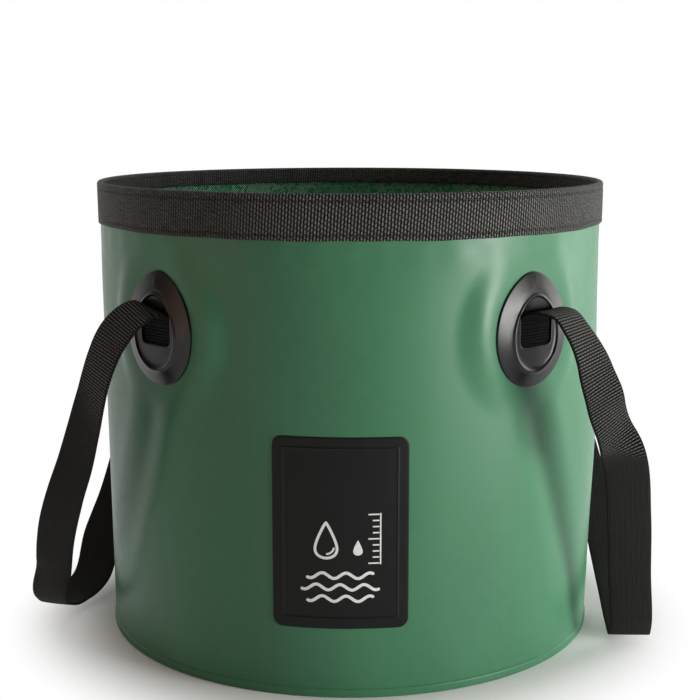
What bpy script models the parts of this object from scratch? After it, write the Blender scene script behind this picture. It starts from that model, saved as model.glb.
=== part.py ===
"""Folding water bag: a soft bucket of about 20 litres with two webbing handles.

Metres, +Z up, the label faces -Y. The origin is the centre of the underside of the base.
Angles round the bag are measured from the front (-Y) towards +X.
"""

import bpy
import bmesh
import math
from mathutils import Matrix, Vector

for old in list(bpy.data.objects):
    bpy.data.objects.remove(old, do_unlink=True)

# The bag as a whole
RIM_RADIUS = 0.155
FOOT_RADIUS = 0.1511
BAG_HEIGHT = 0.2753
SHEET = 0.0008
GAP = 0.0003
SIDES = 72

# Lap seam down the back of the wall, and the fused hem at its foot
LAP_WIDTH = 0.018
HEM_HEIGHT = 0.0048
HEM_EXTRA = 0.0005
HEM_SLOPE = 0.0006
SEAM_STEP = 0.0004

# Base panel: a disc whose edge turns up inside the wall
BASE_FLANGE = 0.012
BASE_CORNER = 0.003

# Webbing of the binding and the handles
WEBBING_WIDTH = 0.025
WEBBING = 0.0016
SELVEDGE = 0.0004
BINDING_OUTSIDE = 0.025
BINDING_INSIDE = 0.011
BINDING_OVERLAP = 0.026

# Anchors: an oval moulded cover over a backing sheet, with a window for the webbing
ANCHOR_ANGLE = math.radians(42.8)
ANCHOR_DROP = 0.0768
COVER_WIDTH = 0.056
COVER_HEIGHT = 0.064
COVER_EGG = 0.05
COVER_SKIN = 0.0008
COVER_EDGE = 0.0014
FLANGE_ROLL = 0.0003
FLANGE_SLOPE = 0.0009
COVER_POINT = 0.10
COVER_CREASE = 0.0004
RING_SHARE = 0.64
RING_SPREAD = 0.98
RING_DROP = 0.0028
RING_RISE = 0.0011
RING_FOOT = 0.0004
WINDOW_ROLL = 0.0003
BACKING = 0.0006
BACKING_SHARE = 0.88
POCKET_CLEARANCE = 0.04
WINDOW_HEIGHT = 0.020
WINDOW_RAISE = 0.001
WINDOW_CLEARANCE = 0.0008
TAIL_TUCK = 0.007
COVER_STEPS = 28

# Lip: where the loose webbing of a handle begins, out from the wall, above the middle of its
# anchor and aside from it. The webbing leaves it level and straight towards the bag's side.
LIP_OUT = 0.020
LIP_UP = 0.0145
LIP_ASIDE = 0.006
LIP_HEADING = math.radians(90)

# Handles: outward reach from the pivot line as a share of HANDLE_REACH, place between the
# anchors as a share of half their distance (front positive), and drop as a share of the room
# down to the lowest point.
# The webbing turns its face from the lip's heading to the leg's over the first turn, and from
# there to straight ahead over the twist, given for the front leg and the back leg.
HANDLE_LOWEST = 0.0050
HANDLE_REACH = 0.050
SAMPLES_PER_SPAN = 4
LIP_TURN_LENGTH = 0.025
LEG_FACING = math.radians(56)
RIGHT_FRONT_TWIST = 0.095
RIGHT_BACK_TWIST = 0.090
RIGHT_ROUTE = (
    (0.000, 1.000, 0.000),
    (0.084, 1.001, 0.003),
    (0.156, 1.007, 0.020),
    (0.206, 1.020, 0.050),
    (0.246, 1.040, 0.091),
    (0.290, 1.060, 0.140),
    (0.394, 1.060, 0.238),
    (0.584, 1.004, 0.343),
    (0.686, 0.943, 0.449),
    (0.804, 0.833, 0.602),
    (0.890, 0.694, 0.790),
    (0.960, 0.589, 0.952),
    (0.976, 0.531, 1.000),
    (0.980, 0.441, 0.990),
    (0.982, 0.245, 0.957),
    (0.960, -0.163, 0.856),
    (0.914, -0.408, 0.776),
    (0.774, -0.653, 0.662),
    (0.610, -0.857, 0.508),
    (0.414, -1.041, 0.284),
    (0.290, -1.060, 0.140),
    (0.246, -1.040, 0.091),
    (0.206, -1.020, 0.050),
    (0.156, -1.007, 0.020),
    (0.084, -1.001, 0.003),
    (0.000, -1.000, 0.000),
)
LEFT_FRONT_TWIST = 0.300
LEFT_BACK_TWIST = 0.090
LEFT_ROUTE = (
    (0.000, 1.000, 0.000),
    (0.072, 1.001, 0.003),
    (0.124, 1.006, 0.020),
    (0.152, 1.017, 0.050),
    (0.168, 1.034, 0.095),
    (0.196, 1.050, 0.147),
    (0.262, 1.054, 0.203),
    (0.356, 1.030, 0.275),
    (0.520, 0.955, 0.390),
    (0.748, 0.841, 0.530),
    (0.954, 0.702, 0.670),
    (1.122, 0.531, 0.820),
    (1.270, 0.304, 0.965),
    (1.252, 0.201, 1.000),
    (1.158, 0.088, 1.000),
    (1.018, -0.041, 0.974),
    (0.962, -0.327, 0.863),
    (0.852, -0.531, 0.765),
    (0.738, -0.755, 0.640),
    (0.588, -0.922, 0.460),
    (0.394, -1.041, 0.270),
    (0.290, -1.060, 0.140),
    (0.246, -1.040, 0.091),
    (0.206, -1.020, 0.050),
    (0.156, -1.007, 0.020),
    (0.084, -1.001, 0.003),
    (0.000, -1.000, 0.000),
)

# Label panel on the front
LABEL_WIDTH = 0.074
LABEL_HEIGHT = 0.1066
LABEL_BOTTOM = 0.040
LABEL_CORNER = 0.0055
LABEL = 0.0007
LABEL_LINE_INSET = 0.0055
LABEL_LINE_WIDTH = 0.0012
LABEL_LINE_RISE = 0.0004
LABEL_STRIPS = 13


# Sizes that follow from the ones above
WALL_TOP = BAG_HEIGHT - WEBBING - GAP
WALL_TOP_RADIUS = RIM_RADIUS - WEBBING - GAP
WALL_FOOT_RADIUS = FOOT_RADIUS - HEM_EXTRA
BINDING_BOTTOM = BAG_HEIGHT - BINDING_OUTSIDE
ANCHOR_HEIGHT = BAG_HEIGHT - ANCHOR_DROP
BACKING_TOP = GAP + BACKING
TAIL_OUT = BACKING_TOP + GAP + WEBBING / 2
POCKET_ROOF = BACKING_TOP + 2 * GAP + WEBBING
BOWL_TOP = POCKET_ROOF + COVER_SKIN
WINDOW_HALF = WEBBING_WIDTH / 2 + WINDOW_CLEARANCE


def wall_radius(z):
    """Radius of the wall's outer face at a height."""
    return WALL_FOOT_RADIUS + (WALL_TOP_RADIUS - WALL_FOOT_RADIUS) * z / WALL_TOP


def around(angle, radius, z):
    return Vector((radius * math.sin(angle), -radius * math.cos(angle), z))


def on_wall(across, out, up, height):
    """Point beside the wall at the front: across it, out from it, and up from a height."""
    radius = wall_radius(height + up)
    return around(across / radius, radius + out, height + up)


def smooth_step(value):
    value = min(1.0, max(0.0, value))
    return value * value * (3 - 2 * value)


def material(name, colour, roughness, metallic=0.0):
    made = bpy.data.materials.new(name)
    made.use_nodes = True
    shader = made.node_tree.nodes["Principled BSDF"]
    shader.inputs["Base Color"].default_value = (*colour, 1.0)
    shader.inputs["Roughness"].default_value = roughness
    shader.inputs["Metallic"].default_value = metallic
    made.diffuse_color = (*colour, 1.0)
    return made


def finish_mesh(name, bm, skin, crease=35.0):
    """Turn the faces outward, shade round pieces smooth and keep the mesh."""
    bmesh.ops.recalc_face_normals(bm, faces=bm.faces[:])
    if bm.calc_volume(signed=True) < 0:
        bmesh.ops.reverse_faces(bm, faces=bm.faces[:])
    mesh = bpy.data.meshes.new(name)
    bm.to_mesh(mesh)
    bm.free()
    mesh.materials.append(skin)
    mesh.shade_smooth()
    mesh.set_sharp_from_angle(angle=math.radians(crease))
    return mesh


def place(name, mesh, location=(0, 0, 0), turn=0.0):
    piece = bpy.data.objects.new(name, mesh)
    piece.location = location
    piece.rotation_euler = (0, 0, turn)
    bpy.context.scene.collection.objects.link(piece)
    return piece


def closed_loft(rows):
    """Skin rings of equal length into a closed ring of rings, like a tyre."""
    bm = bmesh.new()
    grid = [[bm.verts.new(point) for point in row] for row in rows]
    for r, row in enumerate(grid):
        following = grid[(r + 1) % len(grid)]
        for c in range(len(row)):
            d = (c + 1) % len(row)
            bm.faces.new((row[c], row[d], following[d], following[c]))
    return bm


def capped_loft(rows):
    """Skin rings of equal length into a tube whose two ends are closed by flat faces."""
    bm = bmesh.new()
    grid = [[bm.verts.new(point) for point in row] for row in rows]
    for row, following in zip(grid, grid[1:]):
        for c in range(len(row)):
            d = (c + 1) % len(row)
            bm.faces.new((row[c], row[d], following[d], following[c]))
    bm.faces.new(grid[0])
    bm.faces.new(grid[-1][::-1])
    return bm


green = material("wall_green", (0.075, 0.235, 0.125), 0.42)
green_base = material("base_green", (0.070, 0.220, 0.118), 0.45)
black_webbing = material("webbing_black", (0.018, 0.017, 0.016), 0.78)
black_binding = material("binding_black", (0.020, 0.018, 0.016), 0.75)
black_moulded = material("anchor_black", (0.016, 0.016, 0.018), 0.38)
black_backing = material("backing_black", (0.012, 0.012, 0.013), 0.55)
black_label = material("label_black", (0.014, 0.014, 0.014), 0.50)


# Angles shared by the wall, the base and the binding, so that their flat facets lie parallel.
# The lap seam and the binding's overlap have edges of their own at the back.
def shared_angles():
    edges = []
    for width in (LAP_WIDTH, BINDING_OVERLAP):
        half = width / 2 / WALL_TOP_RADIUS
        step = SEAM_STEP / WALL_TOP_RADIUS
        edges += [math.pi - half - step, math.pi - half, math.pi + half, math.pi + half + step]
    regular = [2 * math.pi * i / SIDES for i in range(SIDES)]
    spacing = math.pi / SIDES / 2
    kept = [a for a in regular if min(abs(a - edge) for edge in edges) > spacing]
    return sorted(kept + edges)


ANGLES = shared_angles()


def extra_at_back(angle, width, thickness):
    """Thickness added by an overlap centred on the back, with a short slope at each edge."""
    half = width / 2 / WALL_TOP_RADIUS
    step = SEAM_STEP / WALL_TOP_RADIUS
    away = abs(angle - math.pi)
    return thickness * min(1.0, max(0.0, (half + step - away) / step))


# Wall
lap_top = BINDING_BOTTOM - GAP
wall_rows = []
for height, hem, lap in (
    (0.0, HEM_EXTRA * 0.2, 0.0),
    (SHEET, HEM_EXTRA, SHEET),
    (HEM_HEIGHT - HEM_SLOPE, HEM_EXTRA, SHEET),
    (HEM_HEIGHT, 0.0, SHEET),
    (lap_top - SEAM_STEP, 0.0, SHEET),
    (lap_top, 0.0, 0.0),
    (WALL_TOP, 0.0, 0.0),
):
    wall_rows.append([
        around(a, wall_radius(height) + max(hem, extra_at_back(a, LAP_WIDTH, lap)), height)
        for a in ANGLES
    ])
for height in (WALL_TOP, WALL_TOP / 2, 0.0):
    wall_rows.append([around(a, wall_radius(height) - SHEET, height) for a in ANGLES])
place("wall_panel", finish_mesh("wall_panel", closed_loft(wall_rows), green))

# Base panel, rounded where its flange turns up
base_rows = []
base_radius = WALL_FOOT_RADIUS - SHEET - GAP
for step in range(4):
    turn = math.pi / 2 * step / 3
    base_rows.append([
        around(a, base_radius - BASE_CORNER * (1 - math.sin(turn)), BASE_CORNER * (1 - math.cos(turn)))
        for a in ANGLES
    ])
base_rows.append([around(a, base_radius, BASE_FLANGE) for a in ANGLES])
base_rows.append([around(a, base_radius - SHEET, BASE_FLANGE) for a in ANGLES])
inner_corner = BASE_CORNER - SHEET
for step in range(3):
    turn = math.pi / 2 * (2 - step) / 2
    base_rows.append([
        around(a, base_radius - BASE_CORNER + inner_corner * math.sin(turn),
               BASE_CORNER - inner_corner * math.cos(turn))
        for a in ANGLES
    ])
place("base_panel", finish_mesh("base_panel", capped_loft(base_rows), green_base))

# Rim binding: webbing folded over the top edge, thicker where its ends overlap
binding_rows = []
hug = WALL_TOP_RADIUS - SHEET / 2
fold_inner = SHEET / 2 + GAP
fold_outer = fold_inner + WEBBING


def lean(z):
    """How far the wall leans in at a height, from its radius at the top."""
    return wall_radius(z) - WALL_TOP_RADIUS


for height, outset in (
    (BINDING_BOTTOM, fold_inner),
    (BINDING_BOTTOM, fold_outer - SELVEDGE),
    (BINDING_BOTTOM + SELVEDGE, fold_outer),
):
    binding_rows.append((hug + lean(height) + outset, height, 1.0 if outset > fold_inner else 0.0))
fold_base = WALL_TOP - fold_inner + GAP
for step in range(6):
    turn = math.pi * step / 5
    binding_rows.append((hug + fold_outer * math.cos(turn), fold_base + fold_outer * math.sin(turn),
                         1.0 if step == 0 else 0.0))
inside_bottom = BAG_HEIGHT - BINDING_INSIDE
binding_rows.append((hug - fold_outer, inside_bottom + SELVEDGE, 0.0))
binding_rows.append((hug - fold_outer + SELVEDGE, inside_bottom, 0.0))
binding_rows.append((hug - fold_inner, inside_bottom, 0.0))
for step in range(3):
    turn = math.pi * (2 - step) / 2
    binding_rows.append((hug + fold_inner * math.cos(turn), WALL_TOP + GAP * math.sin(turn), 0.0))
binding_grid = []
for radius, height, share in binding_rows:
    binding_grid.append([
        around(a, radius + share * extra_at_back(a, BINDING_OVERLAP, WEBBING * 0.9), height)
        for a in ANGLES
    ])
place("rim_binding", finish_mesh("rim_binding", closed_loft(binding_grid), black_binding))


# Anchors. Each mesh is modelled at the front and shared by the four places.
def oval(turn, share):
    """Egg-shaped outline of the cover, narrow and slightly pointed at the top; turn runs from the top."""
    across = COVER_WIDTH / 2 * math.sin(turn) * (1 - COVER_EGG * math.cos(turn))
    across *= 1 - COVER_POINT * max(0, math.cos(turn)) ** 3 * share
    return across * share, COVER_HEIGHT / 2 * math.cos(turn) * share


def ring_crest(turn):
    """The raised ring is a little narrower than its share of the outline, and sits lower."""
    across, up = oval(turn, RING_SHARE)
    return across * RING_SPREAD, up - RING_DROP


def window_edge(turn):
    """Where a ray from the window's middle meets its rectangular edge."""
    dx = math.sin(turn)
    dy = math.cos(turn)
    reach = min(WINDOW_HALF / max(abs(dx), 1e-9), WINDOW_HEIGHT / 2 / max(abs(dy), 1e-9))
    return reach * dx, reach * dy + WINDOW_RAISE


def cover_turns():
    """Even directions, with the nearest ones moved onto the window's corners."""
    turns = [2 * math.pi * i / COVER_STEPS for i in range(COVER_STEPS)]
    first = math.atan2(WINDOW_HALF, WINDOW_HEIGHT / 2)
    for corner in (first, math.pi - first, math.pi + first, 2 * math.pi - first):
        nearest = min(range(COVER_STEPS), key=lambda i: abs(turns[i] - corner))
        turns[nearest] = corner
    return turns


def cover_spot(turn, share):
    """Share 0 is the window's edge, 0.5 the crest of the ring and 1 the outer edge."""
    crest = ring_crest(turn)
    if share < 0.5:
        start = window_edge(turn)
        end = crest
        part = share * 2
    else:
        start = crest
        end = oval(turn, 1.0)
        part = share * 2 - 1
    return start[0] + (end[0] - start[0]) * part, start[1] + (end[1] - start[1]) * part


def share_of_oval(share):
    """The cover_spot share of a scaled copy of the outline outside the ring."""
    return 0.5 + 0.5 * (share - RING_SHARE) / (1 - RING_SHARE)


pocket = share_of_oval(BACKING_SHARE + POCKET_CLEARANCE)
crest_top = BOWL_TOP + RING_RISE
cover_profile = (
    (0.00, BOWL_TOP - WINDOW_ROLL),
    (0.06, BOWL_TOP),
    (0.32, BOWL_TOP + RING_RISE * 0.12),
    (0.43, BOWL_TOP + RING_RISE * 0.70),
    (0.50, crest_top),
    (0.56, BOWL_TOP + RING_RISE * 0.50),
    (0.64, BOWL_TOP - RING_FOOT),
    (0.86, GAP + COVER_EDGE + FLANGE_SLOPE),
    (0.985, GAP + COVER_EDGE + FLANGE_ROLL),
    (1.00, GAP + COVER_EDGE),
    (1.00, GAP),
    (pocket + 0.03, GAP),
    (pocket, BACKING_TOP + GAP),
    (0.72, BACKING_TOP + GAP),
    (0.57, POCKET_ROOF),
    (0.00, POCKET_ROOF),
)
cover_grid = []
for share, out in cover_profile:
    ring = []
    for turn in cover_turns():
        across, up = cover_spot(turn, share)
        crease = COVER_CREASE if turn == 0 and out > BOWL_TOP / 2 and 0.55 < share < 0.9 else 0.0
        ring.append(on_wall(across, out + crease, up, ANCHOR_HEIGHT))
    cover_grid.append(ring)
cover_mesh = finish_mesh("anchor_cover", closed_loft(cover_grid), black_moulded, 32.0)

backing_bm = bmesh.new()
backing_sides = []
for out in (GAP, BACKING_TOP):
    rings = []
    for share in (0.3, 0.6, 1.0):
        ring = []
        for i in range(COVER_STEPS):
            across, up = oval(2 * math.pi * i / COVER_STEPS, BACKING_SHARE * share)
            ring.append(backing_bm.verts.new(on_wall(across, out, up, ANCHOR_HEIGHT)))
        rings.append(ring)
    middle = backing_bm.verts.new(on_wall(0, out, 0, ANCHOR_HEIGHT))
    for i in range(COVER_STEPS):
        j = (i + 1) % COVER_STEPS
        backing_bm.faces.new((middle, rings[0][i], rings[0][j]))
        for small, large in zip(rings, rings[1:]):
            backing_bm.faces.new((small[i], large[i], large[j], small[j]))
    backing_sides.append(rings[-1])
for i in range(COVER_STEPS):
    j = (i + 1) % COVER_STEPS
    low, high = backing_sides
    backing_bm.faces.new((low[i], low[j], high[j], high[i]))
backing_mesh = finish_mesh("anchor_backing", backing_bm, black_backing)


def bezier(points, part):
    a, b, c, d = points
    rest = 1 - part
    return a * rest ** 3 + b * 3 * rest ** 2 * part + c * 3 * rest * part ** 2 + d * part ** 3


# Fixed end of the webbing: under the cover's lower half, up through the window, out to the lip
# and aside there, to the right as seen from outside. The other side's end is its mirror image.
def section(centre, run, across, half_thick, bow=0.0):
    """Outline of the webbing with rounded selvedges, bowed back to follow the wall."""
    half = WEBBING_WIDTH / 2
    normal = run.cross(across)
    outline = [(-half, 0), (-half + SELVEDGE, 1), (-half * 0.35, 1), (half * 0.35, 1)]
    outline += [(half - SELVEDGE, 1), (half, 0), (half - SELVEDGE, -1)]
    outline += [(half * 0.35, -1), (-half * 0.35, -1), (-half + SELVEDGE, -1)]
    ring = []
    for wide, side in outline:
        sag = Vector((0, bow * wide * wide / 2 / WALL_TOP_RADIUS, 0))
        ring.append(centre + across * wide + normal * (side * half_thick) + sag)
    return ring


LIP_TURN = LIP_HEADING - ANCHOR_ANGLE
LIP_HEIGHT = ANCHOR_HEIGHT + LIP_UP
lip_spot = Vector((LIP_ASIDE, -wall_radius(LIP_HEIGHT) - LIP_OUT, LIP_HEIGHT))
lip_run = Vector((math.sin(LIP_TURN), -math.cos(LIP_TURN), 0))
tail_low = WINDOW_RAISE - WINDOW_HEIGHT / 2 - TAIL_TUCK
tail_bend = WINDOW_RAISE
tail_end = lip_spot - lip_run * (GAP / 2)
tail_line = [on_wall(0, TAIL_OUT, tail_low, ANCHOR_HEIGHT)]
bend_points = (
    on_wall(0, TAIL_OUT, tail_bend, ANCHOR_HEIGHT),
    on_wall(0, TAIL_OUT, LIP_UP * 0.78, ANCHOR_HEIGHT),
    tail_end - lip_run * (LIP_OUT * 0.55),
    tail_end,
)
tail_line += [bezier(bend_points, i / 9) for i in range(10)]


def tail_section(index):
    here = tail_line[index]
    before = tail_line[max(index - 1, 0)]
    after = tail_line[min(index + 1, len(tail_line) - 1)]
    run = (after - before).normalized()
    done = (here.y - tail_line[0].y) / (tail_end.y - tail_line[0].y)
    flat = smooth_step(done * 1.5)
    turned = LIP_TURN * min(1.0, max(0.0, (done - 0.3) / 0.7)) ** 1.2
    across = Vector((math.cos(turned), math.sin(turned), 0))
    if index == len(tail_line) - 1:
        run = lip_run
    across = (across - run * across.dot(run)).normalized()
    return section(here, run, across, WEBBING / 2, 1 - flat)


tail_rings = [tail_section(i) for i in range(len(tail_line))]
mirrored_rings = [[Vector((-p.x, p.y, p.z)) for p in ring] for ring in tail_rings]
tail_mesh = finish_mesh("strap_end", capped_loft(tail_rings), black_webbing)
mirrored_tail_mesh = finish_mesh("strap_end_mirrored", capped_loft(mirrored_rings), black_webbing)

PLACES = (
    ("front_right", ANCHOR_ANGLE, tail_mesh),
    ("front_left", -ANCHOR_ANGLE, mirrored_tail_mesh),
    ("back_right", math.pi - ANCHOR_ANGLE, mirrored_tail_mesh),
    ("back_left", math.pi + ANCHOR_ANGLE, tail_mesh),
)
for where, turn, tail in PLACES:
    place("anchor_backing_" + where, backing_mesh, turn=turn)
    place("anchor_cover_" + where, cover_mesh, turn=turn)
    place("strap_end_" + where, tail, turn=turn)


# Handles: webbing swept along a smooth line through the route's points. A handle folds up on
# a line along the upper face of its webbing, midway between the two cut ends at each lip.
front_lip = Matrix.Rotation(ANCHOR_ANGLE, 3, "Z") @ lip_spot
PIVOT_OUT = front_lip.x
PIVOT_HALF_SPAN = -front_lip.y
PIVOT_HEIGHT = LIP_HEIGHT + WEBBING / 2 + GAP / 2


def route_points(route, side):
    room = LIP_HEIGHT - HANDLE_LOWEST - WEBBING / 2
    return [
        Vector((side * (PIVOT_OUT + reach * HANDLE_REACH), -PIVOT_HALF_SPAN * share,
                LIP_HEIGHT - drop * room))
        for reach, share, drop in route
    ]


def smooth_line(points, start, end):
    """Cubic through the points, leaving the first and meeting the last in given directions."""
    slopes = [start]
    for before, here, after in zip(points, points[1:], points[2:]):
        first = (here - before).length
        second = (after - here).length
        slope = (here - before) / first * second + (after - here) / second * first
        slopes.append(slope / (first + second))
    slopes.append(end)
    line = []
    for i in range(len(points) - 1):
        a = points[i]
        b = points[i + 1]
        third = (b - a).length / 3
        for k in range(SAMPLES_PER_SPAN):
            part = k / SAMPLES_PER_SPAN
            line.append(bezier((a, a + slopes[i] * third, b - slopes[i + 1] * third, b), part))
    line.append(points[-1])
    return line


def face_angle(length, twist):
    """Angle of the webbing's width from straight across the bag, at a length from a lip."""
    lip_part = (LIP_HEADING - LEG_FACING) * (1 - smooth_step(length / LIP_TURN_LENGTH))
    return lip_part + LEG_FACING * (1 - smooth_step(length / twist))


def handle_mesh(name, route, twist, side):
    run_front = around(side * LIP_HEADING, 1, 0)
    run_back = Vector((-run_front.x, run_front.y, 0))
    line = smooth_line(route_points(route, side), run_front, run_back)
    lengths = [0.0]
    for before, after in zip(line, line[1:]):
        lengths.append(lengths[-1] + (after - before).length)
    total = lengths[-1]
    stations = []
    for i, here in enumerate(line):
        run = (line[min(i + 1, len(line) - 1)] - line[max(i - 1, 0)]).normalized()
        if i == 0:
            run = run_front
            here = here + run * (GAP / 2)
        if i == len(line) - 1:
            run = run_back
            here = here - run * (GAP / 2)
        facing = face_angle(lengths[i], twist[0]) - face_angle(total - lengths[i], twist[1])
        across = Vector((math.cos(facing), side * math.sin(facing), 0))
        across = (across - run * across.dot(run)).normalized()
        stations.append((here, run, across))
    pivot = Vector((side * PIVOT_OUT, 0, PIVOT_HEIGHT))
    rows = []
    for here, run, across in stations:
        normal = run.cross(across)
        row = []
        for wide, thick in ((-1, 0), (-1, 1), (1, 1), (1, 0), (1, -1), (-1, -1)):
            inset = SELVEDGE * abs(thick)
            offset = across * (wide * (WEBBING_WIDTH / 2 - inset))
            offset += normal * (thick * WEBBING / 2)
            row.append(here + offset - pivot)
        rows.append(row)
    print(name, "webbing between its lips:", round(total, 4), "m")
    return finish_mesh(name, capped_loft(rows), black_webbing, 50.0), pivot


for name, route, twist, side in (
    ("handle_right", RIGHT_ROUTE, (RIGHT_FRONT_TWIST, RIGHT_BACK_TWIST), 1),
    ("handle_left", LEFT_ROUTE, (LEFT_FRONT_TWIST, LEFT_BACK_TWIST), -1),
):
    mesh, pivot = handle_mesh(name, route, twist, side)
    place(name, mesh, location=pivot)


# Label: a rounded panel with a raised line, built flat, cut into strips and wrapped on the wall
def label_ring(inset, height):
    corner = max(LABEL_CORNER - inset, LABEL_LINE_WIDTH)
    half_width = LABEL_WIDTH / 2 - inset - corner
    half_height = LABEL_HEIGHT / 2 - inset - corner
    ring = []
    for quarter, (cx, cy) in enumerate(((1, 1), (-1, 1), (-1, -1), (1, -1))):
        for step in range(5):
            turn = math.pi / 2 * (quarter + step / 4)
            ring.append(Vector((
                cx * half_width + corner * math.cos(turn),
                cy * half_height + corner * math.sin(turn),
                height,
            )))
    return ring


label_rings = [label_ring(0.0, 0.0), label_ring(0.0, LABEL)]
for share, rise in ((0.0, 0.0), (0.5, LABEL_LINE_RISE), (1.0, 0.0)):
    label_rings.append(label_ring(LABEL_LINE_INSET + LABEL_LINE_WIDTH * share, LABEL + rise))
label_bm = capped_loft(label_rings)
for strip in range(1, LABEL_STRIPS):
    cut = LABEL_WIDTH * (strip / LABEL_STRIPS - 0.5)
    everything = label_bm.verts[:] + label_bm.edges[:] + label_bm.faces[:]
    bmesh.ops.bisect_plane(label_bm, geom=everything, plane_co=(cut, 0, 0), plane_no=(1, 0, 0))
for vert in label_bm.verts:
    across, up, out = vert.co
    vert.co = on_wall(across, out + GAP, up, LABEL_BOTTOM + LABEL_HEIGHT / 2)
place("label_patch", finish_mesh("label_patch", label_bm, black_label))
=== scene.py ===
import math

import bpy
import numpy as np
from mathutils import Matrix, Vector


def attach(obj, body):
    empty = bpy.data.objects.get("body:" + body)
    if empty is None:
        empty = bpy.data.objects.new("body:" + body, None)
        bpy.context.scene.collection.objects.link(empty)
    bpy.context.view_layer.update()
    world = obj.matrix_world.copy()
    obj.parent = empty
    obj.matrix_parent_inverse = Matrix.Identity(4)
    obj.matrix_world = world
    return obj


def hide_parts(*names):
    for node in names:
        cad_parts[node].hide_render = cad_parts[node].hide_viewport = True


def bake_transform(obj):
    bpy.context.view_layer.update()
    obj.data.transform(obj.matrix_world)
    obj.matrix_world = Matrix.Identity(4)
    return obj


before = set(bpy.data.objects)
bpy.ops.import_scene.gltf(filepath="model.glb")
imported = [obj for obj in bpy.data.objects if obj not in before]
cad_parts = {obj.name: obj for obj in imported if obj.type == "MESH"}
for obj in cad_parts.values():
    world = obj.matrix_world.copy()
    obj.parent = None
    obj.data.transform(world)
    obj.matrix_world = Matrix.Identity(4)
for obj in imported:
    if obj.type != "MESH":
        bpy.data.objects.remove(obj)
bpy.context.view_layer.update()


# A socket that can be used in sums: noise * 0.3 + 0.1 adds the Math nodes for it
class Wire:
    def __init__(self, board, socket):
        self.board = board
        self.socket = socket

    def sum(self, operation, *others):
        values = dict(enumerate((self,) + others))
        return self.board.node("Math", {"operation": operation}, values)

    def flipped(self, operation, other):
        return self.board.node("Math", {"operation": operation}, {0: other, 1: self})

    def __add__(self, other):
        return self.sum("ADD", other)

    def __radd__(self, other):
        return self.flipped("ADD", other)

    def __sub__(self, other):
        return self.sum("SUBTRACT", other)

    def __rsub__(self, other):
        return self.flipped("SUBTRACT", other)

    def __mul__(self, other):
        return self.sum("MULTIPLY", other)

    def __rmul__(self, other):
        return self.flipped("MULTIPLY", other)

    def __truediv__(self, other):
        return self.sum("DIVIDE", other)

    def __rtruediv__(self, other):
        return self.flipped("DIVIDE", other)

    def __pow__(self, other):
        return self.sum("POWER", other)

    def __rpow__(self, other):
        return self.flipped("POWER", other)

    def lobes(self):  # half rounds side by side, one to every pi
        return self.sum("SINE").sum("ABSOLUTE")


# A node tree that gets its nodes from one method
class Board:
    def __init__(self, tree):
        self.tree = tree

    def join(self, socket, value):
        if isinstance(value, Wire):
            self.tree.links.new(value.socket, socket)
        else:
            socket.default_value = value

    def node(self, kind, settings=None, sockets=None, out=0):
        made = self.tree.nodes.new("ShaderNode" + kind)
        for key, value in (settings or {}).items():
            setattr(made, key, value)
        for key, value in (sockets or {}).items():
            self.join(made.inputs[key], value)
        return None if out is None else Wire(self, made.outputs[out])

    def split(self, vector):
        return [self.node("SeparateXYZ", None, {0: vector}, i) for i in range(3)]

    def lay(self):  # across, along and side of the cloth, in metres
        return self.split(self.node("Attribute", {"attribute_name": "lay"}, None, "Vector"))

    def noise(self, scale, detail=3.0, stretch=(1, 1, 1), rough=0.55, at=None):
        place = at or self.node("TexCoord", None, None, "Object")
        place = self.node("VectorMath", {"operation": "MULTIPLY"}, {0: place, 1: stretch})
        sockets = {"Vector": place, "Scale": scale, "Detail": detail, "Roughness": rough}
        return self.node("TexNoise", None, sockets)

    def smooth(self, value, low, high, start=0.0, end=1.0):
        names = ("Value", "From Min", "From Max", "To Min", "To Max")
        sockets = dict(zip(names, (value, low, high, start, end)))
        return self.node("MapRange", {"interpolation_type": "SMOOTHSTEP"}, sockets)

    def near(self, value, place, low, high):  # 1 close to a place, 0 further off
        return self.smooth((value - place).sum("ABSOLUTE"), low, high, 1.0, 0.0)

    def mix(self, share, first, second):
        sockets = {0: share, 6: rgba(first), 7: rgba(second)}
        return self.node("Mix", {"data_type": "RGBA"}, sockets, 2)


# One material: what is the same all over it is fixed, the rest comes from nodes
class Paint(Board):
    def __init__(self, name, **fixed):
        self.material = bpy.data.materials.new(name)
        self.material.use_nodes = True
        super().__init__(self.material.node_tree)
        self.shader = self.tree.nodes["Principled BSDF"]
        for socket, value in fixed.items():
            self.shader.inputs[socket.replace("_", " ")].default_value = value

    def finish(self, tone, rough, height, deep, strength=1.0):
        sockets = {"Height": height, "Distance": deep, "Strength": strength}
        bump = self.node("Bump", None, sockets)
        for socket, value in (("Base Color", tone), ("Roughness", rough), ("Normal", bump)):
            self.join(self.shader.inputs[socket], value)
        return self.material


def rgba(tone):
    return (*tone, 1) if isinstance(tone, tuple) and len(tone) == 3 else tone


def ease(value):
    value = np.clip(value, 0, 1)
    return value * value * (3 - 2 * value)


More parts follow.
